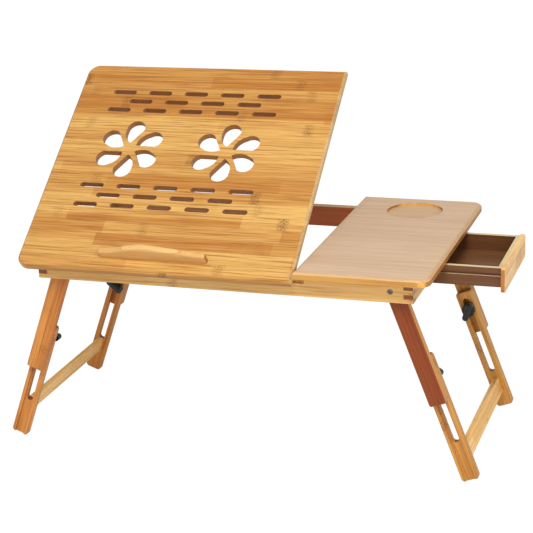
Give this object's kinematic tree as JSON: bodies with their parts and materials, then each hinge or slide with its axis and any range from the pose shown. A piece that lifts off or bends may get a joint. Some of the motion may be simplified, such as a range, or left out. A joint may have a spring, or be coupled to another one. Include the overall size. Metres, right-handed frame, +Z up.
{
  "type": "folding laptop stand with drawer",
  "caption": "Folding bamboo laptop stand: vented tilting board with a book stop, fixed side board with a cup recess over a small drawer, and telescoping folding legs clamped by wing knobs",
  "frame": {"origin": "centre of the footprint in the stored pose, at the level of the feet", "axes": "+X to the right, from the tilting board to the drawer's front; +Y to the back, away from the person; +Z up"},
  "size_m": [0.6688, 0.345, 0.4692],
  "materials": {
    "bamboo_light": "satin",
    "bamboo_board": "satin",
    "bamboo_dark": "satin",
    "bamboo_skin": "satin",
    "plywood": "matte",
    "zinc_steel": "satin",
    "black_plastic": "satin",
    "brass": "satin"
  },
  "bodies": {
    "frame": {"front_rail": "bamboo_light", "back_rail": "bamboo_light", "left_side_rail": "bamboo_light", "right_side_rail_front": "bamboo_light", "right_side_rail_rear": "bamboo_light", "centre_rail": "bamboo_light", "front_drawer_runner": "bamboo_light", "rear_drawer_runner": "bamboo_light", "side_board": "bamboo_board", "side_board_skin": "bamboo_skin", "notch_rack": "bamboo_light", "leg_pivot_bolts": "zinc_steel", "leg_pivot_nuts": "zinc_steel", "hinge_rail_leaves": "zinc_steel", "hinge_pins": "zinc_steel", "hinge_rail_screws": "zinc_steel", "rack_dowels": "bamboo_light"},
    "tilt_board_group": {"tilt_board": "bamboo_board", "book_stop": "bamboo_light", "book_stop_screws": "zinc_steel", "hinge_board_leaves": "zinc_steel", "hinge_board_screws": "zinc_steel", "prop_brackets": "zinc_steel", "prop_bracket_screws": "zinc_steel"},
    "prop": {"tilt_prop": "zinc_steel"},
    "drawer": {"drawer_front_panel": "bamboo_light", "drawer_box_front": "bamboo_light", "drawer_side_front": "bamboo_light", "drawer_side_rear": "bamboo_light", "drawer_back": "bamboo_light", "drawer_bottom": "plywood", "drawer_screws": "zinc_steel"},
    "left_upper_legs": {"left_front_upper_leg": "bamboo_dark", "left_back_upper_leg": "bamboo_dark", "left_clamp_studs": "zinc_steel", "left_clamp_washers": "zinc_steel"},
    "right_upper_legs": {"right_front_upper_leg": "bamboo_dark", "right_back_upper_leg": "bamboo_dark", "right_clamp_studs": "zinc_steel", "right_clamp_washers": "zinc_steel"},
    "left_lower_legs": {"left_front_lower_leg": "bamboo_dark", "left_back_lower_leg": "bamboo_dark", "left_stretcher": "bamboo_light"},
    "right_lower_legs": {"right_front_lower_leg": "bamboo_dark", "right_back_lower_leg": "bamboo_dark", "right_stretcher": "bamboo_light"},
    "left_front_wing": {"left_front_knob": "black_plastic", "left_front_knob_insert": "brass"},
    "left_back_wing": {"left_back_knob": "black_plastic", "left_back_knob_insert": "brass"},
    "right_front_wing": {"right_front_knob": "black_plastic", "right_front_knob_insert": "brass"},
    "right_back_wing": {"right_back_knob": "black_plastic", "right_back_knob_insert": "brass"}
  },
  "joints": [
    {"name": "board_tilt", "type": "hinge", "parent": "frame", "child": "tilt_board_group", "pos_m": [-0.09612, -0.1525, 0.26685], "axis": [-1, 0, 0], "range_deg": [-13.1, 36.9]},
    {"name": "prop_swing", "type": "hinge", "parent": "tilt_board_group", "child": "prop", "pos_m": [-0.20462, -0.08761, 0.31364], "axis": [1, 0, 0], "range_deg": [-26.5, 74]},
    {"name": "drawer_slide", "type": "slide", "parent": "frame", "child": "drawer", "axis": [-1, 0, 0], "range_m": [-0.008, 0.091]},
    {"name": "left_leg_fold", "type": "hinge", "parent": "frame", "child": "left_upper_legs", "pos_m": [-0.23112, 0, 0.25485], "axis": [0, -1, 0], "range_deg": [0, 110.4]},
    {"name": "right_leg_fold", "type": "hinge", "parent": "frame", "child": "right_upper_legs", "pos_m": [0.20888, 0, 0.25485], "axis": [0, 1, 0], "range_deg": [0, 110.4]},
    {"name": "left_leg_height", "type": "slide", "parent": "left_upper_legs", "child": "left_lower_legs", "axis": [0.3486, 0, 0.9373], "range_m": [-0.01, 0.068]},
    {"name": "right_leg_height", "type": "slide", "parent": "right_upper_legs", "child": "right_lower_legs", "axis": [-0.3486, 0, 0.9373], "range_m": [-0.01, 0.068]},
    {"name": "left_front_knob_turn", "type": "hinge", "parent": "left_upper_legs", "child": "left_front_wing", "pos_m": [-0.27365, -0.10745, 0.1405], "axis": [0, 1, 0], "range_deg": [0, 360]},
    {"name": "left_back_knob_turn", "type": "hinge", "parent": "left_upper_legs", "child": "left_back_wing", "pos_m": [-0.27365, 0.10745, 0.1405], "axis": [0, -1, 0], "range_deg": [0, 360]},
    {"name": "right_front_knob_turn", "type": "hinge", "parent": "right_upper_legs", "child": "right_front_wing", "pos_m": [0.2514, -0.10745, 0.1405], "axis": [0, 1, 0], "range_deg": [0, 360]},
    {"name": "right_back_knob_turn", "type": "hinge", "parent": "right_upper_legs", "child": "right_back_wing", "pos_m": [0.2514, 0.10745, 0.1405], "axis": [0, -1, 0], "range_deg": [0, 360]}
  ],
  "couplings": [
    {"joint": "prop_swing", "follows": "board_tilt", "ratio": 2}
  ]
}
